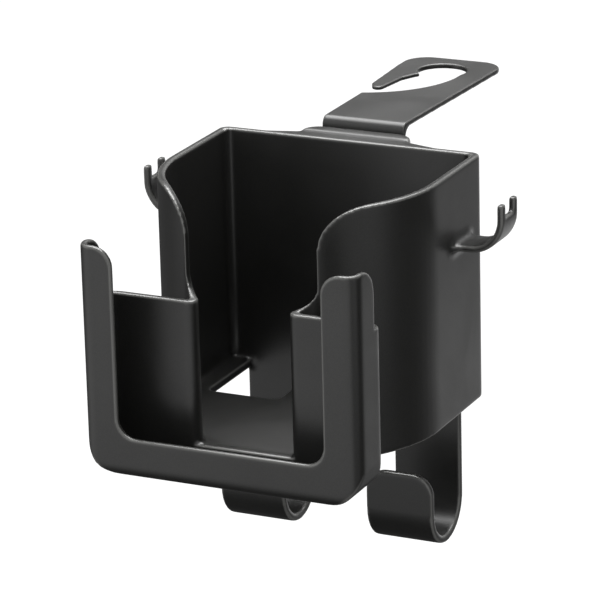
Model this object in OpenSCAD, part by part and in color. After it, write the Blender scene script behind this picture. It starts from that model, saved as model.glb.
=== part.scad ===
// Car cup holder that hangs from a headrest post
// One moulded body holds the cup, a phone tray in front of it, two bag hooks below and two side hooks.
// A separate headrest hook slides into a sleeve on the back of the body and catches in a window there.
// The origin is the centre of the eye that goes round the headrest post, halfway through its plate.
// +Z is up, -Y faces the passenger who uses the cup, and +X is that passenger's right.

/* [Cup] */
// Outer width of the cup
cup_w = 88.5; // [87:0.5:95]
// Depth from the back panel's rear face to the front of the cup
cup_d = 77.4; // [75:0.2:80]
// Radius of the cup's two front corners
cup_front_r = 42; // [38:0.5:43]
// Radius of the cup's two back corners
cup_back_r = 3; // [2.9:0.1:5]
// Height of the rim above the underside of the tray
rim_h = 82.4; // [80:0.2:90]
// Height of the cup's underside above the underside of the tray
cup_lift = 3.7; // [3:0.1:6]
// Thickness of the moulded walls
wall_t = 2.6; // [2.2:0.1:2.8]
// Thickness of the cup's floor
floor_t = 2.9; // [2.4:0.1:3.6]

/* [Front opening] */
// Clear width between the two edges of the cup wall
opening_w = 43; // [40:0.5:46]
// Radius that turns the level rim down into the opening
rim_turn_r = 13; // [10:0.5:14]
// Clear width between the two noses that join the cup to the phone tray
nose_gap = 30.6; // [28:0.2:32]
// Distance that the phone plates stand in front of the cup
nose_out = 3.4; // [2.8:0.1:4]
// Outer radius of each nose
nose_r = 2.9; // [2.8:0.1:3.2]

/* [Phone tray] */
// Outer width of the tray
tray_w = 90.6; // [86:0.2:98]
// Clear depth for the phone
phone_gap = 14.5; // [12:0.1:18]
// Thickness of the tray's front, sides and floor
tray_t = 2; // [1.8:0.1:2.6]
// Height of the phone plates above the underside of the tray
plate_h = 52.3; // [48:0.1:56]
// Height of the two front posts above the underside of the tray
post_h = 71.8; // [68:0.1:76]
// Width of each front post
post_w = 11.6; // [9:0.2:14]
// Height of the front bar below the window
bar_h = 12.6; // [10:0.2:16]
// Radius of the window's lower corners
window_r = 6; // [3:0.5:8]
// Radius of each post's inner top corner
post_top_r = 6.5; // [4:0.5:8]
// Depth of the side flange above the phone plates
flange_d = 13.2; // [12:0.2:14]
// Radius of the side flange's upper back corner
flange_r = 8; // [5:0.5:9]
// Radius of the tray's upright edges
tray_edge_r = 4.5; // [3.2:0.1:6]
// Radius of the tray's lower side corners
tray_corner_r = 12; // [6:0.5:12.5]
// Radius of the tray's lower front edge
tray_sill_r = 3.5; // [3:0.1:5]
// Height of the low sill between the noses above the cup's floor
foot_sill_h = 0.5; // [0.3:0.1:1.2]

/* [Bag hooks] */
// Width of each bag hook
bag_hook_w = 22.5; // [18:0.5:25]
// Distance from the middle of the body to the inner edge of each bag hook
bag_hook_x = 14.1; // [11:0.1:16]
// Outer radius of the hook's bend
bag_hook_r = 12.5; // [11:0.5:14]
// Depth of the hook's lowest point below the underside of the tray
bag_hook_drop = 42; // [38:0.5:46]
// Height of the hook's lip above its lowest point
bag_hook_lip = 25.7; // [22:0.5:28]
// Radius of the lip's upper corners
bag_hook_corner_r = 7; // [4:0.5:9]
// Length of the moulding hole in the floor over each bag hook
floor_hole_d = 31.9; // [28:0.1:34]
// Width of the moulding hole
floor_hole_w = 24.2; // [18:0.1:25]
// Distance from the middle of the body to the inner edge of each moulding hole
floor_hole_x = 10.8; // [9:0.1:14]
// Radius of the moulding hole's front corners
floor_hole_r = 2.5; // [1:0.5:4]

/* [Side hooks] */
// Distance that each side hook stands out from the cup
side_hook_out = 16.4; // [14:0.1:18]
// Width of each side hook from front to back
side_hook_w = 12.4; // [10:0.2:14]
// Distance from the back panel's rear face to the back edge of each side hook
side_hook_y = 11.6; // [8:0.1:16]
// Thickness of each side hook
side_hook_t = 2.1; // [1.8:0.1:2.6]
// Height of the side hook's underside above the underside of the tray
side_hook_z = 57.8; // [54:0.2:62]
// Outer radius of the side hook's bend
side_hook_r = 11; // [9:0.5:12]
// Height of each side hook from its underside to the tips of its prongs
side_hook_h = 16; // [14:0.5:18]
// Width of the notch between the two prongs
notch_w = 6.4; // [4:0.2:7]
// Depth of the notch
notch_d = 4.2; // [2:0.2:5]
// Radius of the coves in front of and behind each side hook's root
cove_r = 4; // [2:0.5:5]
// Radius of the fillets above and below each side hook's root
root_r = 2; // [1:0.5:2]

/* [Sleeve] */
// Width of the block behind the back panel
block_w = 37; // [36:0.5:42]
// Depth of the block behind the panel's rear face
block_d = 8.9; // [8:0.1:10]
// Radius of the block's back corners
block_r = 6; // [4:0.5:7]
// Distance from the middle of the body at which the block's flanks leave the panel
flank_x = 29; // [26:0.5:34]
// Distance behind the panel's rear face at which the collar on the block begins
collar_y = 3.7; // [3:0.1:5]
// Height of the collar above the cup's rim
collar_h = 0.5; // [0.3:0.1:1]
// Width of the sleeve behind the block
sleeve_w = 34; // [33.5:0.5:36]
// Radius of the sleeve's back corners
sleeve_r = 3; // [2:0.1:3.1]
// Height of the sleeve's lower end above the underside of the tray
sleeve_z = 36; // [30:1:44]
// Depth of the sleeve's upper end below the rim
sleeve_top_drop = 3.4; // [2.4:0.2:6.4]
// Thickness of the sleeve's wall behind the tongue
sleeve_back_t = 2.4; // [2.2:0.1:3]

/* [Headrest hook] */
// Width of the hook's strip
strip_w = 28; // [24:0.5:29]
// Thickness of the hook
strip_t = 1.7; // [1.5:0.1:2.2]
// Outer radius of the bend between the tongue and the plate
bend_r = 2.8; // [2.2:0.1:2.8]
// Radius of the fillet under the bend
fillet_r = 4; // [2:0.5:4.5]
// Height of the plate's top face above the collar
plate_rise = 2.9; // [2.9:0.1:5]
// Distance from the back panel's rear face to the centre of the post's eye
post_y = 72.6; // [68:0.1:76]
// Radius of the eye that goes round the headrest post
post_r = 8; // [6.5:0.1:8.2]
// Width of the plate's head round the eye
head_w = 33.2; // [31:0.2:36]
// Distance from the eye's centre to the far end of the plate
head_end = 14.7; // [13:0.1:17]
// Radius of the head's far corners
head_r = 8; // [5:0.5:9]
// Radius of the curved near side of the slot
slot_r = 30.8; // [30:0.1:32]
// Distance from the eye's centre to the slot radius's centre, to the left
slot_x = 23.3; // [22.5:0.1:24]
// Distance from the eye's centre to the slot radius's centre, towards the cup
slot_y = 3.9; // [3:0.1:5]
// Distance from the eye's centre to the end of the finger
finger_l = 25.7; // [24:0.1:27]
// Length of the slanted end of the finger
finger_slant = 4; // [3:0.1:5]
// Distance that the finger's outer edge leans in towards its end
finger_lean = 1.2; // [0:0.1:2]
// Thickness of the finger
finger_t = 1.3; // [1.2:0.1:1.7]
// Distance from the eye's centre to the middle of the finger's tip, to the left
tip_x = 12.3; // [12:0.1:12.8]
// Radius of the finger's tip
tip_r = 2; // [1.2:0.1:2.2]
// Distance from the eye's centre to the finger's inner edge, to the left
arm_x = 8.9; // [8.6:0.1:9.4]
// Distance from the eye's centre to the upper end of that edge, towards the cup
arm_y = 12.2; // [10:0.1:14]
// Distance from the eye's centre to the neck that holds the post in, to the left
neck_x = 6.4; // [5.8:0.1:7]
// Distance from the eye's centre to the neck, towards the cup
neck_y = 6.8; // [6.2:0.1:7.4]
// Width of the catch that holds the tongue in the sleeve
catch_w = 10; // [6:0.5:14]
// Height of the catch
catch_h = 5; // [3:0.5:7]
// Depth of the catch's lower end below the sleeve's upper end
catch_drop = 14; // [9:0.5:23]
// Distance that the catch stands out from the tongue
catch_d = 1.6; // [1:0.1:2]

/* [Fit] */
// Clearance between the tongue and the sleeve on each side
fit_gap = 0.2; // [0.1:0.05:0.3]

/* [Hidden] */
$fn = 96;
charcoal = "#26272a";
// Overrun that keeps every cut clear of the face it goes through
over = 1;
// Length by which joined forms run into each other
root = 1;

floor_top = cup_lift + floor_t;
half_cup = cup_w / 2;
half_tray = tray_w / 2;

// The flare reaches from the opening's upright edge to the nose
flare_r = (opening_w - nose_gap) / 2;
flare_z = plate_h + flare_r;

// Places along Y, as distances in front of the back panel's rear face
plate_y = cup_d + nose_out;
plate_back_y = plate_y - wall_t;
bezel_back_y = plate_y + phone_gap;
tray_front_y = bezel_back_y + tray_t;
flange_back_y = tray_front_y - flange_d;

nose_x = nose_gap / 2 + nose_r;
nose_y = plate_y - nose_r;

window_w = tray_w - 2 * post_w;

bag_hook_axis_z = bag_hook_r - bag_hook_drop;
bag_hook_lip_z = bag_hook_lip - bag_hook_drop;

side_hook_axis_x = half_cup + side_hook_out - side_hook_r;
side_hook_axis_z = side_hook_z + side_hook_r;
side_hook_tip_z = side_hook_z + side_hook_h;

// The tongue lies behind the block, in the sleeve, with the fit clearance all round
tongue_y = block_d + fit_gap;
slot_d = strip_t + 2 * fit_gap;
slot_w = strip_w + 2 * fit_gap;
sleeve_d = block_d + slot_d + sleeve_back_t;
sleeve_floor_z = sleeve_z + wall_t;
sleeve_top_z = rim_h - sleeve_top_drop;
collar_z = rim_h + collar_h;
plate_top_z = collar_z + plate_rise;
plate_z = plate_top_z - strip_t;
tongue_z = sleeve_floor_z + fit_gap;
catch_z = sleeve_top_z - catch_drop;

// Distance in front of the back panel at which a curve round the front corner's centre passes a given X
function front_face(x, r) = cup_d - cup_front_r + sqrt(r * r - pow(x - half_cup + cup_front_r, 2));

// Point where a line from a given point touches a circle, on its left (1) or its right (-1)
function touch_point(point, centre, r, side) =
    let (reach = centre - point, aim = atan2(reach[1], reach[0]) + side * asin(r / norm(reach)))
    point + sqrt(reach * reach - r * r) * [cos(aim), sin(aim)];

// Extrudes a front view, drawn as X and Z, from distance near to distance far in front of the back panel
module from_front(near, far) {
    translate([0, -near, 0]) rotate([90, 0, 0]) linear_extrude(height = far - near) children();
}

// Extrudes a side view, drawn as Y and Z, across the given width centred on the body
module from_side(width) {
    translate([-width / 2, 0, 0]) rotate([90, 0, 90]) linear_extrude(height = width) children();
}

// Quarter of a square outside a disc: what a cut leaves behind it is a rounded corner
module corner_waste(r) {
    difference() {
        square(r + over);
        circle(r = r);
    }
}

// Plan of the cup: a flat back with small corners, straight sides and wide front corners
module cup_plan(inset) {
    half = half_cup - inset;
    front = cup_d - inset;
    front_r = cup_front_r - inset;
    back_r = cup_back_r - inset;
    intersection() {
        translate([-half, -front]) square([2 * half, front - inset]);
        union() {
            translate([-half, front_r - front]) square([2 * half, front - front_r - inset - back_r]);
            translate([back_r - half, front_r - front]) square([2 * (half - back_r), front - front_r]);
            translate([front_r - half, -front]) square([2 * (half - front_r), front_r]);
            for (side = [-1, 1]) {
                translate([side * (half - front_r), front_r - front]) circle(r = front_r);
                translate([side * (half - back_r), -inset - back_r]) circle(r = back_r);
            }
        }
    }
}

// Front view of the opening: level rim, rounded turns and upright edges
module opening_outline() {
    translate([-opening_w / 2, floor_top]) square([opening_w, rim_h + over - floor_top]);
    for (side = [0, 1]) mirror([side, 0])
        translate([opening_w / 2 + rim_turn_r, rim_h - rim_turn_r]) mirror([1, 0]) corner_waste(rim_turn_r);
}

module floor_hole() {
    front = -wall_t - floor_hole_d;
    translate([floor_hole_x, front + floor_hole_r]) square([floor_hole_w, floor_hole_d - floor_hole_r]);
    translate([floor_hole_x + floor_hole_r, front]) square([floor_hole_w - 2 * floor_hole_r, floor_hole_d]);
    for (x = [floor_hole_x + floor_hole_r, floor_hole_x + floor_hole_w - floor_hole_r])
        translate([x, front + floor_hole_r]) circle(r = floor_hole_r);
}

module cup() {
    difference() {
        union() {
            translate([0, 0, cup_lift]) linear_extrude(height = rim_h - cup_lift) cup_plan(0);
            translate([-nose_x, -plate_y, cup_lift]) cube([2 * nose_x, plate_y - wall_t, floor_t]);
        }
        translate([0, 0, floor_top]) linear_extrude(height = rim_h) cup_plan(wall_t);
        from_front(cup_d - cup_front_r, cup_d + over) opening_outline();
        for (side = [0, 1]) mirror([side, 0, 0])
            translate([0, 0, cup_lift - over]) linear_extrude(height = floor_t + 2 * over) floor_hole();
    }
}

// Wall that flares from the opening's upright edge down to the nose, and turns there into the phone plate
module nose() {
    edge = opening_w / 2;
    centre = [nose_x, -nose_y];
    outer = [edge, -front_face(edge, cup_front_r)];
    inner = [edge, -front_face(edge, cup_front_r - wall_t)];
    difference() {
        translate([0, 0, cup_lift]) linear_extrude(height = flare_z - cup_lift) polygon([
            outer,
            touch_point(outer, centre, nose_r - wall_t, -1),
            touch_point(inner, centre, nose_r, -1),
            inner,
            (outer + inner) / 2 + [root, 0]
        ]);
        from_front(cup_d - cup_front_r, plate_y + over)
            translate([nose_gap / 2, flare_z]) circle(r = flare_r);
    }
    translate([nose_x, -nose_y, cup_lift]) linear_extrude(height = plate_h - cup_lift) difference() {
        circle(r = nose_r);
        translate([0, -nose_r]) square(2 * nose_r);
    }
}

// Plan of the tray with four rounded upright edges
module tray_plan(inset) {
    half = half_tray - inset;
    edge_r = tray_edge_r - inset;
    depth = tray_front_y - plate_back_y - 2 * inset;
    translate([-half, edge_r - tray_front_y + inset]) square([2 * half, depth - 2 * edge_r]);
    translate([edge_r - half, inset - tray_front_y]) square([2 * (half - edge_r), depth]);
    for (side = [-1, 1]) for (y = [inset - tray_front_y + edge_r, -plate_back_y - inset - edge_r])
        translate([side * (half - edge_r), y]) circle(r = edge_r);
}

// Front view of the tray with its two lower corners rounded
module tray_face(inset) {
    half = half_tray - inset;
    corner_r = tray_corner_r - inset;
    translate([-half, tray_corner_r]) square([2 * half, post_h + over]);
    translate([corner_r - half, inset]) square([2 * (half - corner_r), post_h]);
    for (side = [-1, 1]) translate([side * (half - corner_r), tray_corner_r]) circle(r = corner_r);
}

// Side view of the tray with its lower front edge rounded
module tray_profile(inset) {
    front = inset - tray_front_y;
    sill_r = tray_sill_r - inset;
    translate([front, tray_sill_r]) square([tray_front_y, post_h + over]);
    translate([front + sill_r, inset]) square([tray_front_y, post_h]);
    translate([front + sill_r, tray_sill_r]) circle(r = sill_r);
}

module tray_block(inset, top) {
    intersection() {
        linear_extrude(height = top) tray_plan(inset);
        from_front(0, tray_front_y + over) tray_face(inset);
        from_side(tray_w + 2 * over) tray_profile(inset);
    }
}

// Front view of the window, open at the top, with the posts' inner top corners rounded off
module window_outline() {
    half = window_w / 2;
    translate([-half, bar_h + window_r]) square([window_w, post_h]);
    translate([window_r - half, bar_h]) square([window_w - 2 * window_r, post_h]);
    for (side = [0, 1]) mirror([side, 0]) {
        translate([half - window_r, bar_h + window_r]) circle(r = window_r);
        translate([half + post_top_r, post_h - post_top_r]) mirror([1, 0]) corner_waste(post_top_r);
    }
}

// Side view of what is cut away over the phone plates, behind the side flanges
module flange_outline() {
    translate([-flange_back_y, plate_h]) square([tray_front_y, post_h]);
    translate([-flange_back_y - flange_r, post_h - flange_r]) corner_waste(flange_r);
}

module tray() {
    difference() {
        tray_block(0, post_h);
        intersection() {
            tray_block(tray_t, post_h + 2 * over);
            translate([-tray_w / 2, -tray_front_y, 0]) cube([tray_w, phone_gap + tray_t, post_h + over]);
        }
        from_front(bezel_back_y - over, tray_front_y + over) window_outline();
        from_side(tray_w + 2 * over) flange_outline();
        translate([-nose_x, -plate_y - over, floor_top + foot_sill_h])
            cube([2 * nose_x, wall_t + 2 * over, post_h]);
    }
}

// Bag hook: a strip that runs down from the back panel and turns up into a lip
module bag_hook() {
    intersection() {
        translate([bag_hook_x + bag_hook_w / 2, 0, 0]) from_side(bag_hook_w) {
            translate([-wall_t, bag_hook_axis_z]) square([wall_t, cup_lift + root - bag_hook_axis_z]);
            translate([-2 * bag_hook_r, bag_hook_axis_z]) square([wall_t, bag_hook_lip_z - bag_hook_axis_z]);
            translate([-bag_hook_r, bag_hook_axis_z]) difference() {
                circle(r = bag_hook_r);
                circle(r = bag_hook_r - wall_t);
                translate([-bag_hook_r, 0]) square(2 * bag_hook_r);
            }
        }
        union() {
            translate([bag_hook_x, -bag_hook_r, -bag_hook_drop - over])
                cube([bag_hook_w, bag_hook_r + over, bag_hook_drop + cup_lift + 2 * root + over]);
            from_front(bag_hook_r - over, 2 * bag_hook_r + over) lip_outline();
        }
    }
}

// Front view of the bag hook's lip with rounded upper corners
module lip_outline() {
    corner_z = bag_hook_lip_z - bag_hook_corner_r;
    translate([bag_hook_x, -bag_hook_drop - over]) square([bag_hook_w, corner_z + bag_hook_drop + over]);
    translate([bag_hook_x + bag_hook_corner_r, corner_z])
        square([bag_hook_w - 2 * bag_hook_corner_r, bag_hook_corner_r]);
    for (x = [bag_hook_corner_r, bag_hook_w - bag_hook_corner_r])
        translate([bag_hook_x + x, corner_z]) circle(r = bag_hook_corner_r);
}

// Side hook: a strip that leaves the cup level, curves upwards and ends in two prongs
module side_hook() {
    axis_y = side_hook_y + side_hook_w / 2;
    difference() {
        from_front(side_hook_y, side_hook_y + side_hook_w) {
            translate([half_cup - root, side_hook_z])
                square([side_hook_axis_x - half_cup + root, side_hook_t]);
            translate([side_hook_axis_x + side_hook_r - side_hook_t, side_hook_axis_z])
                square([side_hook_t, side_hook_tip_z - side_hook_axis_z]);
            translate([side_hook_axis_x, side_hook_axis_z]) difference() {
                circle(r = side_hook_r);
                circle(r = side_hook_r - side_hook_t);
                translate([-side_hook_r, 0]) square(2 * side_hook_r);
                translate([-2 * side_hook_r, -side_hook_r]) square(2 * side_hook_r);
            }
            difference() {
                translate([half_cup - root, side_hook_z - root_r])
                    square([root + root_r, side_hook_t + 2 * root_r]);
                for (z = [side_hook_z - root_r, side_hook_z + side_hook_t + root_r])
                    translate([half_cup + root_r, z]) circle(r = root_r);
            }
        }
        translate([side_hook_axis_x, -axis_y - notch_w / 2, side_hook_tip_z - notch_d])
            cube([side_hook_r + over, notch_w, notch_d + over]);
    }
    difference() {
        translate([half_cup - root, -side_hook_y - side_hook_w - cove_r, side_hook_z])
            cube([root + cove_r, side_hook_w + 2 * cove_r, side_hook_t]);
        for (y = [-side_hook_y - side_hook_w - cove_r, cove_r - side_hook_y])
            translate([half_cup + cove_r, y, side_hook_z - over])
                cylinder(r = cove_r, h = side_hook_t + 2 * over);
    }
}

// Plan behind the panel, from one distance to another, with rounded back corners
module rear_plan(width, near, far, r) {
    intersection() {
        translate([-width / 2, near]) square([width, far - near]);
        union() {
            translate([-width / 2, near]) square([width, far - r - near]);
            translate([r - width / 2, near]) square([width - 2 * r, far - near]);
            for (side = [-1, 1]) translate([side * (width / 2 - r), far - r]) circle(r = r);
        }
    }
}

// Plan of the block's two flanks, which run out along the panel
module flank_plan() {
    polygon([
        [-flank_x, -root],
        [-flank_x, 0],
        [-block_w / 2, block_d - block_r],
        [block_w / 2, block_d - block_r],
        [flank_x, 0],
        [flank_x, -root]
    ]);
}

// Block behind the back panel, cored from below, that carries the collar and the sleeve
module block() {
    core_w = block_w - 2 * wall_t;
    difference() {
        translate([0, 0, sleeve_z]) linear_extrude(height = rim_h - sleeve_z) {
            rear_plan(block_w, -root, block_d, block_r);
            flank_plan();
        }
        translate([0, 0, sleeve_z - over]) linear_extrude(height = rim_h - wall_t - sleeve_z + over)
            rear_plan(core_w, 0, block_d - wall_t, block_r - wall_t);
    }
    translate([0, 0, rim_h - root]) linear_extrude(height = collar_h + root) intersection() {
        rear_plan(block_w, 0, block_d, block_r);
        translate([-block_w, collar_y]) square([2 * block_w, block_d]);
    }
}

// Sleeve behind the block, with a floor and a window for the catch
module sleeve() {
    difference() {
        translate([0, 0, sleeve_z]) linear_extrude(height = sleeve_top_z - sleeve_z)
            rear_plan(sleeve_w, block_d - root, sleeve_d, sleeve_r);
        translate([-slot_w / 2, block_d, sleeve_floor_z]) cube([slot_w, slot_d, sleeve_top_z]);
        translate([-catch_w / 2 - fit_gap, block_d, catch_z - fit_gap])
            cube([catch_w + 2 * fit_gap, sleeve_d, catch_h + 2 * fit_gap]);
    }
}

// Plan of the plate with its head, measured from the eye's centre
module plate_plan() {
    half = head_w / 2;
    start = bend_r + tongue_y - post_y;
    slot_end = slot_y + slot_r;
    difference() {
        union() {
            polygon([
                [-strip_w / 2, start],
                [strip_w / 2, start],
                [half, head_end - head_r],
                [-half, head_end - head_r],
                [-half, -slot_y],
                [-strip_w / 2, -slot_end]
            ]);
            translate([head_r - half, 0]) square([head_w - 2 * head_r, head_end]);
            for (side = [-1, 1]) translate([side * (half - head_r), head_end - head_r]) circle(r = head_r);
        }
        circle(r = post_r);
        intersection() {
            translate([-slot_x, -slot_y]) circle(r = slot_r);
            translate([-half - over, -slot_end]) square([half + over + post_r, slot_end]);
        }
    }
}

// Plan of the finger that closes the left side of the eye down to its slanted tip
module finger_plan() {
    corner = [finger_lean - head_w / 2, finger_slant - finger_l];
    arm = [-arm_x, -arm_y];
    tip = [-tip_x, tip_r - finger_l];
    difference() {
        union() {
            polygon([
                [-head_w / 2, over],
                corner,
                touch_point(corner, tip, tip_r, -1),
                tip,
                touch_point(arm, tip, tip_r, 1),
                arm,
                [-neck_x, -neck_y],
                [0, over]
            ]);
            translate(tip) circle(r = tip_r);
        }
        circle(r = post_r);
    }
}

// Headrest hook: tongue, bend, plate with the post's eye, and the catch that holds the tongue
module headrest_hook_form() {
    bend_z = plate_top_z - bend_r;
    from_side(strip_w) {
        translate([tongue_y, tongue_z]) square([strip_t, bend_z - tongue_z]);
        translate([tongue_y + bend_r, bend_z]) difference() {
            circle(r = bend_r);
            circle(r = bend_r - strip_t);
            translate([-bend_r, -2 * bend_r]) square(2 * bend_r);
            translate([0, -bend_r]) square(2 * bend_r);
        }
        difference() {
            translate([tongue_y + strip_t / 2, plate_z - fillet_r])
                square([fillet_r + strip_t / 2, fillet_r + strip_t / 2]);
            translate([tongue_y + strip_t + fillet_r, plate_z - fillet_r]) circle(r = fillet_r);
        }
    }
    translate([0, post_y, plate_z]) linear_extrude(height = strip_t) plate_plan();
    translate([0, post_y, plate_top_z - finger_t]) linear_extrude(height = finger_t) finger_plan();
    from_side(catch_w) polygon([
        [tongue_y + strip_t - root, catch_z],
        [tongue_y + strip_t, catch_z],
        [tongue_y + strip_t + catch_d, catch_z + catch_h - catch_d / 2],
        [tongue_y + strip_t + catch_d, catch_z + catch_h],
        [tongue_y + strip_t - root, catch_z + catch_h]
    ]);
}

// Moves the model from the body's datum to the centre of the post's eye
module from_post() {
    translate([0, -post_y, strip_t / 2 - plate_top_z]) children();
}

module body() {
    color(charcoal) from_post() {
        cup();
        tray();
        block();
        sleeve();
        for (side = [0, 1]) mirror([side, 0, 0]) {
            nose();
            bag_hook();
            side_hook();
        }
    }
}

module headrest_hook() {
    color(charcoal) from_post() headrest_hook_form();
}

body();
headrest_hook();
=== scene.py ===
"""Looks of the car cup holder: two mouldings in satin charcoal plastic, on a pale studio stage."""

import math

import bmesh
import bpy
from bpy.props import FloatProperty, IntProperty, PointerProperty, StringProperty
from mathutils import Matrix, Vector


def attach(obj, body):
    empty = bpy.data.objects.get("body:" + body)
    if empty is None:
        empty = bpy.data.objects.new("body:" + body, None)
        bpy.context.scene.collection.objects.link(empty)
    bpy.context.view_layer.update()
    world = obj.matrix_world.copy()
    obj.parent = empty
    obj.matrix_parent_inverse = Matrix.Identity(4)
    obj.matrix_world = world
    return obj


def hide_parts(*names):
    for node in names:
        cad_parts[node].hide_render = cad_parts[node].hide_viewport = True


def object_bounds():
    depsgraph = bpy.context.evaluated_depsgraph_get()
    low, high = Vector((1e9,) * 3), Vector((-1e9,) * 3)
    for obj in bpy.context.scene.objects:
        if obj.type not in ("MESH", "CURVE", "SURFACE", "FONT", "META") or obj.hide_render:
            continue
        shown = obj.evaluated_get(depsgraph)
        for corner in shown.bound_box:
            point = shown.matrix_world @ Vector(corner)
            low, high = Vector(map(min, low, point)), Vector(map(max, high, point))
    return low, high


bl_info = {
    "name": "Car cup holder looks",
    "version": (1, 0, 0),
    "blender": (4, 5, 0),
    "location": "3D View > Sidebar > Cup holder",
    "description": "Dresses the packed car cup holder in moulded plastic and sets up its stage",
    "category": "Object",
}

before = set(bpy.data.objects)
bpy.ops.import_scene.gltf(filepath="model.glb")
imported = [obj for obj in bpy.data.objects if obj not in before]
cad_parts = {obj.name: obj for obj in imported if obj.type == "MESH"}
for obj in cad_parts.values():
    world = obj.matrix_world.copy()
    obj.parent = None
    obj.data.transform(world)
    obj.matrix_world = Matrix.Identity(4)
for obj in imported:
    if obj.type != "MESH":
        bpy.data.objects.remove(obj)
cad_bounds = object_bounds()

MM = 0.001
BODY_PIECE = "body_moulding"
HOOK_PIECE = "headrest_hook_moulding"
ROUNDING_TREE = "moulded_edge_rounding"
# Point attribute that marks the edges, where the material paints a highlight
EDGE_ATTRIBUTE = "painted_edge_highlight"

# The cup, in the frame whose origin is the middle of the headrest post's eye. Its back corners
# are widened from CORNER_FOOT_Z up, which is just below the upper face of the cup's floor.
CUP_WIDTH = 88.5 * MM
CUP_WALL = 2.6 * MM
CUP_BACK_Y = -72.6 * MM
CORNER_FOOT_Z = -79.0 * MM

# The photograph's camera, from a fit to the object's straight edges: degrees, then metres
CAMERA_TURN, CAMERA_DIP, CAMERA_ROLL = 25.568, 18.510, -1.477
CAMERA_PLACE = (0.478204, -1.111435, 0.327837)
SENSOR_WIDTH_MM = 36.0

# The stage, in metres
OBJECT_MIDDLE = (0.0, -0.12, -0.06)
SHADOW_MIDDLE = (0.0, -0.12, 0.0)
POOL_MIDDLE = (0.27, 0.31)
FLOOR_HALF_WIDTH = 6.0
CEILING_AIM = (-0.112, 0.233, 0.966)


# Colours and shader nodes


def linear_from_hex(text):
    """Turns an sRGB colour written as #rrggbb into the linear values that a socket takes."""
    channels = [int(text[i : i + 2], 16) / 255 for i in (1, 3, 5)]
    linear = [c / 12.92 if c <= 0.04045 else ((c + 0.055) / 1.055) ** 2.4 for c in channels]
    return (*linear, 1.0)


def add_node(tree, kind, settings=None, inputs=None, label=None):
    """Adds one node, sets its options, and gives each named input a value or a link."""
    node = tree.nodes.new(kind)
    for name, value in (settings or {}).items():
        setattr(node, name, value)
    for name, value in (inputs or {}).items():
        if isinstance(value, bpy.types.NodeSocket):
            tree.links.new(value, node.inputs[name])
        else:
            node.inputs[name].default_value = value
    if label:
        node.label = label
    return node


def empty_material(name):
    """A new material whose node tree is still empty."""
    material = bpy.data.materials.new(name)
    material.use_nodes = True
    material.node_tree.nodes.clear()
    return material, material.node_tree


def spark_eroded_polypropylene(name, finish, roughness):
    """Injection-moulded polypropylene with the fine pebbled grain that a spark-eroded mould leaves.

    The grain spreads reflections into a soft satin gleam, so that the dark walls stay readable.
    """
    material, tree = empty_material(name)
    place = add_node(tree, "ShaderNodeTexCoord").outputs["Object"]
    # The real grain is about 0.1 mm across; it is drawn coarser, to show at the render's scale
    grain = add_node(
        tree, "ShaderNodeTexNoise", {"noise_dimensions": "3D"},
        {"Vector": place, "Scale": 1 / (finish.grain * MM), "Detail": 2.0, "Roughness": 0.6},
        "grain",
    )
    shade = add_node(
        tree, "ShaderNodeMapRange", {},
        {"Value": grain.outputs["Fac"], "From Min": 0.35, "From Max": 0.65,
         "To Min": 0.0, "To Max": 1.0},
        "pits and peaks",
    )
    tint = add_node(
        tree, "ShaderNodeMix", {"data_type": "RGBA"},
        {0: shade.outputs["Result"], 6: linear_from_hex(finish.pit_colour),
         7: linear_from_hex(finish.peak_colour)},
        "tint of pits and peaks",
    )
    # Edges are drawn paler, a painted highlight along them, and smoother, which narrows their real
    # gleam
    edge = add_node(
        tree, "ShaderNodeAttribute", {"attribute_name": EDGE_ATTRIBUTE}, {}, "on an edge"
    ).outputs["Fac"]
    colour = add_node(
        tree, "ShaderNodeMix", {"data_type": "RGBA"},
        {0: edge, 6: tint.outputs[2], 7: linear_from_hex(finish.edge_highlight_colour)},
        "painted edge highlight",
    )
    # Slow flow of the melt: patches that gleam a little more or less
    flow = add_node(
        tree, "ShaderNodeTexNoise", {"noise_dimensions": "3D"},
        {"Vector": place, "Scale": 1 / (finish.melt_patch * MM), "Detail": 3.0,
         "Roughness": 0.55, "Distortion": 0.6},
        "melt flow",
    )
    gleam = add_node(
        tree, "ShaderNodeMapRange", {},
        {"Value": flow.outputs["Fac"], "From Min": 0.3, "From Max": 0.7,
         "To Min": roughness - 0.04, "To Max": roughness + 0.05},
        "roughness over the flow",
    )
    smoothed = add_node(
        tree, "ShaderNodeMath", {"operation": "MULTIPLY_ADD"},
        {0: edge, 1: -0.1, 2: gleam.outputs["Result"]},
        "smoother edges",
    )
    bump = add_node(
        tree, "ShaderNodeBump", {},
        {"Strength": 0.22, "Distance": 0.05 * MM, "Height": grain.outputs["Fac"]},
        "moulded grain",
    )
    plastic = add_node(
        tree, "ShaderNodeBsdfPrincipled", {},
        {"Base Color": colour.outputs[2], "Roughness": smoothed.outputs[0], "IOR": 1.49,
         "Normal": bump.outputs["Normal"]},
    )
    add_node(tree, "ShaderNodeOutputMaterial", {}, {"Surface": plastic.outputs["BSDF"]})
    return material


# Mouldings


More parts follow.
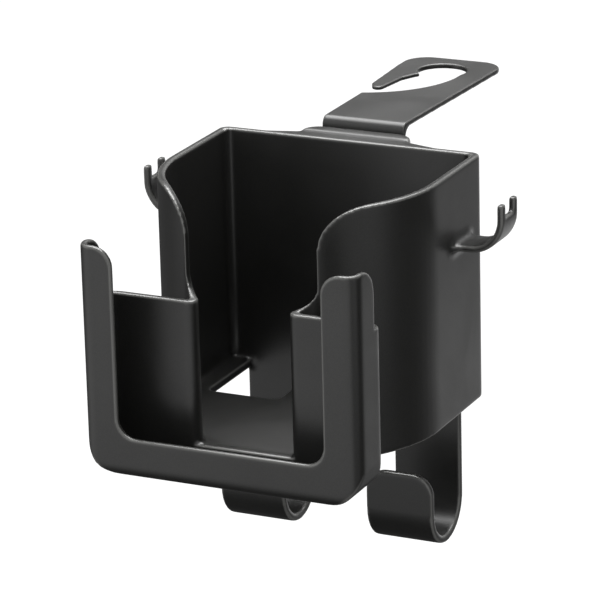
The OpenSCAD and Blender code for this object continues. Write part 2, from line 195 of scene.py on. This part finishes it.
def edge_rounding_tree():
    """Geometry Nodes that relax a dense skin: radii on its edges, wider ones in its corners."""
    tree = bpy.data.node_groups.new(ROUNDING_TREE, "GeometryNodeTree")
    for name, direction, kind in (
        ("Geometry", "INPUT", "NodeSocketGeometry"),
        ("Edge passes", "INPUT", "NodeSocketInt"),
        ("Corner passes", "INPUT", "NodeSocketInt"),
        ("Plastic", "INPUT", "NodeSocketMaterial"),
        ("Geometry", "OUTPUT", "NodeSocketGeometry"),
    ):
        tree.interface.new_socket(name, in_out=direction, socket_type=kind)
    given = add_node(tree, "NodeGroupInput").outputs
    place = add_node(tree, "GeometryNodeInputPosition").outputs["Position"]
    normal = add_node(tree, "GeometryNodeInputNormal").outputs["Normal"]
    relaxed, outwards = [], []
    for passes, label in (("Edge passes", "edge radius"), ("Corner passes", "corner radius")):
        blur = add_node(
            tree, "GeometryNodeBlurAttribute", {"data_type": "FLOAT_VECTOR"},
            {"Iterations": given[passes]}, label,
        )
        tree.links.new(place, next(s for s in blur.inputs if s.name == "Value" and s.enabled))
        relaxed.append(next(s for s in blur.outputs if s.name == "Value" and s.enabled))
        shift = add_node(
            tree, "ShaderNodeVectorMath", {"operation": "SUBTRACT"}, {0: relaxed[-1], 1: place}
        )
        outwards.append(add_node(
            tree, "ShaderNodeVectorMath", {"operation": "DOT_PRODUCT"},
            {0: shift.outputs["Vector"], 1: normal},
        ).outputs["Value"])
    # A point that relaxes outwards lies in a corner, and one that relaxes inwards on an edge
    in_corner = add_node(
        tree, "ShaderNodeMapRange", {},
        {"Value": outwards[1], "From Min": 0.0, "From Max": 0.08 * MM}, "in a corner",
    )
    on_edge = add_node(
        tree, "ShaderNodeMapRange", {},
        {"Value": outwards[0], "From Min": -0.05 * MM, "From Max": -0.16 * MM}, "on an edge",
    )
    chosen = add_node(
        tree, "ShaderNodeMix", {"data_type": "VECTOR"},
        {0: in_corner.outputs["Result"], 4: relaxed[0], 5: relaxed[1]}, "relaxed place",
    )
    # Marks the edges, where the plastic's material paints a highlight
    marked = add_node(
        tree, "GeometryNodeStoreNamedAttribute", {"data_type": "FLOAT", "domain": "POINT"},
        {"Geometry": given["Geometry"], "Name": EDGE_ATTRIBUTE,
         "Value": on_edge.outputs["Result"]},
    )
    moved = add_node(
        tree, "GeometryNodeSetPosition", {},
        {"Geometry": marked.outputs["Geometry"], "Position": chosen.outputs[1]},
    )
    smooth = add_node(
        tree, "GeometryNodeSetShadeSmooth", {}, {"Geometry": moved.outputs["Geometry"]}
    )
    whole = add_node(
        tree, "GeometryNodeRealizeInstances", {}, {"Geometry": smooth.outputs["Geometry"]}
    )
    dressed = add_node(
        tree, "GeometryNodeSetMaterial", {},
        {"Geometry": whole.outputs["Geometry"], "Material": given["Plastic"]},
    )
    add_node(tree, "NodeGroupOutput", {}, {"Geometry": dressed.outputs["Geometry"]})
    return tree


def set_tree_input(modifier, name, value):
    """Sets a Geometry Nodes input by its socket's identifier."""
    for item in modifier.node_group.interface.items_tree:
        if item.item_type == "SOCKET" and item.in_out == "INPUT" and item.name == name:
            modifier[item.identifier] = value
            return
    raise ValueError(f"the tree has no input named {name}")


def closed_copy(node, name):
    """A copy of a CAD node's mesh with its loose triangles joined into one closed skin."""
    mesh = bpy.data.meshes.new(name)
    skin = bmesh.new()
    skin.from_mesh(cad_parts[node].data)
    bmesh.ops.remove_doubles(skin, verts=skin.verts, dist=0.001 * MM)
    skin.to_mesh(mesh)
    skin.free()
    piece = bpy.data.objects.new(name, mesh)
    bpy.context.scene.collection.objects.link(piece)
    return piece


def bake_modifiers(piece):
    """Replaces a piece's mesh by what its modifiers make of it, and removes them."""
    bpy.context.view_layer.update()
    evaluated = piece.evaluated_get(bpy.context.evaluated_depsgraph_get())
    mesh = bpy.data.meshes.new_from_object(evaluated)
    piece.modifiers.clear()
    piece.data = mesh
    mesh.name = piece.name


def widen_back_corners(piece, radius):
    """Gives the cup's two upright corners at the back the inner radius that the wall turns with."""
    middle_x = CUP_WIDTH / 2 - CUP_WALL - radius
    middle_y = CUP_BACK_Y - CUP_WALL - radius
    # The skin of the wall's inner face may lie this far outside the face itself
    limit = radius + 0.3 * MM
    for point in piece.data.vertices:
        x, y, z = point.co
        across, along = abs(x) - middle_x, y - middle_y
        if 0 < across < limit and 0 < along < limit and z > CORNER_FOOT_Z:
            reach = math.hypot(across, along)
            if reach > radius:
                new_x = math.copysign(middle_x + across * radius / reach, x)
                point.co = (new_x, middle_y + along * radius / reach, z)


def mould(node, name, plastic, voxel, edge_passes, corner_passes, triangles, corner_radius=0.0):
    """Builds a moulding from a CAD node: same form, with radii on its edges and in corners."""
    piece = closed_copy(node, name)
    skin = piece.modifiers.new("even skin", "REMESH")
    skin.mode = "VOXEL"
    skin.voxel_size = voxel
    skin.adaptivity = 0.0
    rounding = piece.modifiers.new("edge radii", "NODES")
    rounding.node_group = bpy.data.node_groups.get(ROUNDING_TREE) or edge_rounding_tree()
    set_tree_input(rounding, "Edge passes", edge_passes)
    set_tree_input(rounding, "Corner passes", corner_passes)
    set_tree_input(rounding, "Plastic", plastic)
    bake_modifiers(piece)
    if corner_radius:
        widen_back_corners(piece, corner_radius)
    # The even skin is all quads, and each is two triangles
    count = 2 * len(piece.data.polygons)
    if count > triangles:
        thin = piece.modifiers.new("thin out", "DECIMATE")
        thin.ratio = triangles / count
        bake_modifiers(piece)
    piece.data.shade_smooth()
    return piece


# Sizes and colours that a user would change


class CupHolderMouldings(bpy.types.PropertyGroup):
    body_voxel: FloatProperty(
        name="Body skin spacing", description="Spacing of the body's even skin",
        default=0.4 * MM, min=0.2 * MM, max=2 * MM, subtype="DISTANCE", unit="LENGTH",
    )
    hook_voxel: FloatProperty(
        name="Hook skin spacing", description="Spacing of the headrest hook's even skin",
        default=0.3 * MM, min=0.2 * MM, max=2 * MM, subtype="DISTANCE", unit="LENGTH",
    )
    back_corner_radius: FloatProperty(
        name="Back corner radius",
        description="Inner radius of the cup's two upright corners at the back",
        default=2.8 * MM, min=0.5 * MM, max=6 * MM, subtype="DISTANCE", unit="LENGTH",
    )
    body_passes: IntProperty(
        name="Body rounding", description="Rounding passes on the body's edges",
        default=7, min=0, max=40,
    )
    hook_passes: IntProperty(
        name="Hook rounding", description="Rounding passes on the headrest hook's edges",
        default=3, min=0, max=40,
    )
    corner_passes: IntProperty(
        name="Corner rounding", description="Rounding passes in the corners of both mouldings",
        default=24, min=0, max=80,
    )
    body_triangles: IntProperty(
        name="Body triangles", description="Most triangles in the body",
        default=190000, min=1000,
    )
    hook_triangles: IntProperty(
        name="Hook triangles", description="Most triangles in the headrest hook",
        default=60000, min=1000,
    )


class CupHolderPlastic(bpy.types.PropertyGroup):
    pit_colour: StringProperty(
        name="Pit colour", description="sRGB colour in the grain's pits", default="#1b1b1a"
    )
    peak_colour: StringProperty(
        name="Peak colour", description="sRGB colour on the grain's peaks", default="#242423"
    )
    # Colour of the highlight that is painted along the edges
    edge_highlight_colour: StringProperty(
        name="Edge colour", description="sRGB colour of the painted edge highlight", default="#666664"
    )
    roughness: FloatProperty(
        name="Roughness", description="Middle roughness of the satin surface",
        default=0.36, min=0.1, max=0.9, subtype="FACTOR",
    )
    hook_roughness: FloatProperty(
        name="Hook roughness",
        description="Middle roughness of the headrest hook, which is a little more matt",
        default=0.39, min=0.1, max=0.9, subtype="FACTOR",
    )
    grain: FloatProperty(
        name="Grain", description="Width of one pebble of the moulded grain, in millimetres",
        default=0.35, min=0.05, max=2.0,
    )
    melt_patch: FloatProperty(
        name="Melt patch", description="Width of one patch of the melt's flow, in millimetres",
        default=23.8, min=5.0, max=100.0,
    )


class CupHolderStage(bpy.types.PropertyGroup):
    lens: FloatProperty(
        name="Lens", description="Focal length that gives the photograph's perspective",
        default=229.966, min=20, max=600, subtype="DISTANCE_CAMERA",
    )
    floor_drop: FloatProperty(
        name="Floor drop", description="Distance from the bag hooks down to the floor",
        default=0.12, min=0.0, max=1.0, subtype="DISTANCE", unit="LENGTH",
    )
    key_power: FloatProperty(
        name="Key power", description="Power of the softbox on the right",
        default=2.0, min=0, max=500, subtype="POWER", unit="POWER",
    )
    top_power: FloatProperty(
        name="Top power", description="Power of the softbox overhead",
        default=7.5, min=0, max=500, subtype="POWER", unit="POWER",
    )
    fill_power: FloatProperty(
        name="Fill power", description="Power of the softbox on the left",
        default=2.0, min=0, max=500, subtype="POWER", unit="POWER",
    )


# Operators: one for each moulding and one for the stage


class CUPHOLDER_OT_body(bpy.types.Operator):
    """Cup, phone tray, hooks and sleeve, which are one moulding"""

    bl_idname = "cupholder.body"
    bl_label = "Body moulding"

    def execute(self, context):
        sizes = context.scene.cupholder_mouldings
        finish = context.scene.cupholder_plastic
        plastic = spark_eroded_polypropylene(
            "satin_polypropylene_body", finish, finish.roughness
        )
        piece = mould(
            "body", BODY_PIECE, plastic, sizes.body_voxel, sizes.body_passes,
            sizes.corner_passes, sizes.body_triangles, sizes.back_corner_radius,
        )
        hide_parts("body")
        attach(piece, "root")
        return {"FINISHED"}


class CUPHOLDER_OT_headrest_hook(bpy.types.Operator):
    """Tongue, bend and plate with the eye for the headrest post, which are one moulding"""

    bl_idname = "cupholder.headrest_hook"
    bl_label = "Headrest hook"

    def execute(self, context):
        sizes = context.scene.cupholder_mouldings
        finish = context.scene.cupholder_plastic
        plastic = spark_eroded_polypropylene(
            "satin_polypropylene_hook", finish, finish.hook_roughness
        )
        piece = mould(
            "headrest_hook", HOOK_PIECE, plastic, sizes.hook_voxel, sizes.hook_passes,
            sizes.corner_passes, sizes.hook_triangles,
        )
        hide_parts("headrest_hook")
        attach(piece, "root")
        return {"FINISHED"}


# Stage


def photo_camera(lens):
    """Camera that stands where the photograph was taken from."""
    turn, dip, roll = (math.radians(v) for v in (CAMERA_TURN, CAMERA_DIP, CAMERA_ROLL))
    level = Vector((-math.sin(turn), math.cos(turn), 0.0))
    ahead = level * math.cos(dip) - Vector((0.0, 0.0, math.sin(dip)))
    right = Vector((math.cos(turn), math.sin(turn), 0.0))
    up = right.cross(ahead)
    tilted_right = right * math.cos(roll) + up * math.sin(roll)
    tilted_up = up * math.cos(roll) - right * math.sin(roll)
    data = bpy.data.cameras.new("photo_camera")
    data.lens = lens
    data.sensor_width = SENSOR_WIDTH_MM
    data.clip_start = 0.01
    data.clip_end = 50.0
    camera = bpy.data.objects.new("photo_camera", data)
    spin = Matrix((tilted_right, tilted_up, -ahead)).transposed().to_4x4()
    camera.matrix_world = Matrix.Translation(CAMERA_PLACE) @ spin
    bpy.context.scene.collection.objects.link(camera)
    bpy.context.scene.camera = camera


def softbox(name, place, size, power):
    """Square area lamp that faces the object."""
    data = bpy.data.lights.new(name, "AREA")
    data.shape = "SQUARE"
    data.size = size
    data.energy = power
    lamp = bpy.data.objects.new(name, data)
    lamp.location = place
    towards_object = Vector(OBJECT_MIDDLE) - Vector(place)
    lamp.rotation_euler = towards_object.to_track_quat("-Z", "Y").to_euler()
    bpy.context.scene.collection.objects.link(lamp)


def split_by_ray(tree, lighting, mirrored, shown):
    """Joins what lights the object, what its gloss mirrors, and what camera and glass show."""
    path = add_node(tree, "ShaderNodeLightPath").outputs
    gloss = add_node(
        tree, "ShaderNodeMixShader", {}, {0: path["Is Glossy Ray"], 1: lighting, 2: mirrored}
    )
    seen = add_node(
        tree, "ShaderNodeMath", {"operation": "MAXIMUM"},
        {0: path["Is Camera Ray"], 1: path["Is Transmission Ray"]}, "seen directly",
    )
    return add_node(
        tree, "ShaderNodeMixShader", {}, {0: seen.outputs[0], 1: gloss.outputs[0], 2: shown}
    ).outputs[0]


def tent_walls(tree, direction):
    """How bright the walls of the light tent are, for gloss alone.

    They are plain at level 1, apart from a dark opening on the right, a dim panel on the left,
    and a narrow strip of light in the opening. An azimuth is in degrees from -Y towards +X, and
    the limits are cosines of the angle from it, where the part begins and where it is full.
    """
    unit = add_node(
        tree, "ShaderNodeVectorMath", {"operation": "NORMALIZE"}, {0: direction}
    ).outputs["Vector"]
    levels = []
    for label, azimuth, begins, full, outside, inside in (
        ("tent opening", 98.0, 0.25, 0.66, 1.0, 0.04),
        ("dim left panel", -118.0, 0.25, 0.9, 1.0, 0.08),
        ("strip in the opening", 66.0, 0.905, 0.94, 0.0, 0.55),
    ):
        turn = math.radians(azimuth)
        facing = add_node(
            tree, "ShaderNodeVectorMath", {"operation": "DOT_PRODUCT"},
            {0: unit, 1: (math.sin(turn), -math.cos(turn), 0.0)},
        )
        levels.append(add_node(
            tree, "ShaderNodeMapRange", {"interpolation_type": "SMOOTHSTEP"},
            {"Value": facing.outputs["Value"], "From Min": begins, "From Max": full,
             "To Min": outside, "To Max": inside},
            label,
        ).outputs["Result"])
    opening, panel, strip = levels
    return add_node(
        tree, "ShaderNodeMath", {"operation": "MULTIPLY_ADD"}, {0: opening, 1: panel, 2: strip}
    ).outputs[0]


def pale_floor_material(low):
    """Matt white floor that the camera sees as near-white paper, with the object's shadow. What
    gloss mirrors of it is a painted glow, with a painted shadow and a painted pool of light.
    """
    material, tree = empty_material("matt_white_floor")
    white = linear_from_hex("#ffffff")
    place = add_node(tree, "ShaderNodeTexCoord").outputs["Object"]
    glow = add_node(tree, "ShaderNodeEmission", {}, {"Color": white, "Strength": 0.82})
    matt = add_node(tree, "ShaderNodeBsdfDiffuse", {}, {"Color": linear_from_hex("#8c8c8c")})
    shown = add_node(tree, "ShaderNodeAddShader", {}, {0: glow.outputs[0], 1: matt.outputs[0]})
    # What the gloss mirrors of the floor is dark below the object, as in its own shadow
    away = add_node(
        tree, "ShaderNodeVectorMath", {"operation": "DISTANCE"}, {0: place, 1: SHADOW_MIDDLE}
    ).outputs["Value"]
    unshaded = add_node(
        tree, "ShaderNodeMapRange", {"interpolation_type": "SMOOTHSTEP"},
        {"Value": away, "From Min": 0.25, "From Max": 0.6, "To Min": 0.06, "To Max": 1.35},
        "clear of the shadow",
    ).outputs["Result"]
    # It is brighter in a pool behind the object on the right, which no lamp throws
    from_pool = add_node(
        tree, "ShaderNodeVectorMath", {"operation": "DISTANCE"},
        {0: place, 1: (*POOL_MIDDLE, low)},
    ).outputs["Value"]
    pool = add_node(
        tree, "ShaderNodeMapRange", {"interpolation_type": "SMOOTHSTEP"},
        {"Value": from_pool, "From Min": 0.04, "From Max": 0.24, "To Min": 0.5, "To Max": 0.0},
        "pool of light",
    ).outputs["Result"]
    level = add_node(
        tree, "ShaderNodeMath", {"operation": "MULTIPLY_ADD"},
        {0: tent_walls(tree, place), 1: unshaded, 2: pool},
    ).outputs[0]
    mirrored = add_node(tree, "ShaderNodeEmission", {}, {"Color": white, "Strength": level})
    paper = add_node(tree, "ShaderNodeBsdfDiffuse", {}, {"Color": linear_from_hex("#9a9a9a")})
    surface = split_by_ray(tree, paper.outputs[0], mirrored.outputs[0], shown.outputs[0])
    add_node(tree, "ShaderNodeOutputMaterial", {}, {"Surface": surface})
    return material


def studio_world():
    """White where it is seen, soft light on the object, and a light tent where it is mirrored."""
    world = bpy.data.worlds.new("studio")
    world.use_nodes = True
    tree = world.node_tree
    tree.nodes.clear()
    white = linear_from_hex("#ffffff")
    direction = add_node(tree, "ShaderNodeTexCoord").outputs["Generated"]
    shown = add_node(tree, "ShaderNodeBackground", {}, {"Color": white, "Strength": 1.0})
    soft = add_node(tree, "ShaderNodeBackground", {}, {"Color": white, "Strength": 0.7})
    upwards = add_node(
        tree, "ShaderNodeVectorMath", {"operation": "DOT_PRODUCT"}, {0: direction, 1: CEILING_AIM}
    ).outputs["Value"]
    # The gloss of level faces mirrors this ceiling, which lights nothing else
    ceiling = add_node(
        tree, "ShaderNodeMapRange", {"interpolation_type": "SMOOTHSTEP"},
        {"Value": upwards, "From Min": 0.78, "From Max": 0.96, "To Min": 0.0, "To Max": 9.5},
        "bright ceiling",
    ).outputs["Result"]
    tent = add_node(
        tree, "ShaderNodeMath", {"operation": "ADD"}, {0: tent_walls(tree, direction), 1: ceiling}
    ).outputs[0]
    mirrored = add_node(tree, "ShaderNodeBackground", {}, {"Color": white, "Strength": tent})
    surface = split_by_ray(tree, soft.outputs[0], mirrored.outputs[0], shown.outputs[0])
    add_node(tree, "ShaderNodeOutputWorld", {}, {"Surface": surface})
    return world


class CUPHOLDER_OT_stage(bpy.types.Operator):
    """Camera at the photograph's place, pale floor and soft studio light"""

    bl_idname = "cupholder.stage"
    bl_label = "Studio stage"

    def execute(self, context):
        stage = context.scene.cupholder_stage
        photo_camera(stage.lens)
        low = cad_bounds[0][2] - stage.floor_drop
        half = FLOOR_HALF_WIDTH
        corners = [(-half, -half, low), (half, -half, low), (half, half, low), (-half, half, low)]
        mesh = bpy.data.meshes.new("floor")
        mesh.from_pydata(corners, [], [(0, 1, 2, 3)])
        mesh.materials.append(pale_floor_material(low))
        floor = bpy.data.objects.new("floor", mesh)
        context.scene.collection.objects.link(floor)
        for name, place, size, power in (
            ("softbox_right", (0.9, -0.55, 0.55), 0.7, stage.key_power),
            ("softbox_top", (-0.15, 0.35, 0.95), 0.9, stage.top_power),
            ("softbox_left", (-0.9, -0.7, 0.35), 0.8, stage.fill_power),
        ):
            softbox(name, place, size, power)
        context.scene.world = studio_world()
        context.scene.view_settings.view_transform = "Standard"
        return {"FINISHED"}


class CUPHOLDER_PT_panel(bpy.types.Panel):
    bl_idname = "CUPHOLDER_PT_panel"
    bl_label = "Cup holder"
    bl_space_type = "VIEW_3D"
    bl_region_type = "UI"
    bl_category = "Cup holder"

    def draw(self, context):
        scene = context.scene
        for group in (scene.cupholder_mouldings, scene.cupholder_plastic, scene.cupholder_stage):
            box = self.layout.box()
            for name in group.bl_rna.properties.keys():
                if name not in ("rna_type", "name"):
                    box.prop(group, name)
        for operator in OPERATORS:
            self.layout.operator(operator.bl_idname)


OPERATORS = (CUPHOLDER_OT_stage, CUPHOLDER_OT_body, CUPHOLDER_OT_headrest_hook)
CLASSES = (
    CupHolderMouldings, CupHolderPlastic, CupHolderStage, *OPERATORS, CUPHOLDER_PT_panel
)


def register():
    for one in CLASSES:
        bpy.utils.register_class(one)
    bpy.types.Scene.cupholder_mouldings = PointerProperty(type=CupHolderMouldings)
    bpy.types.Scene.cupholder_plastic = PointerProperty(type=CupHolderPlastic)
    bpy.types.Scene.cupholder_stage = PointerProperty(type=CupHolderStage)


def unregister():
    del bpy.types.Scene.cupholder_stage
    del bpy.types.Scene.cupholder_plastic
    del bpy.types.Scene.cupholder_mouldings
    for one in reversed(CLASSES):
        bpy.utils.unregister_class(one)


def main():
    register()
    bpy.ops.cupholder.stage()
    bpy.ops.cupholder.body()
    bpy.ops.cupholder.headrest_hook()


if __name__ == "__main__":
    main()
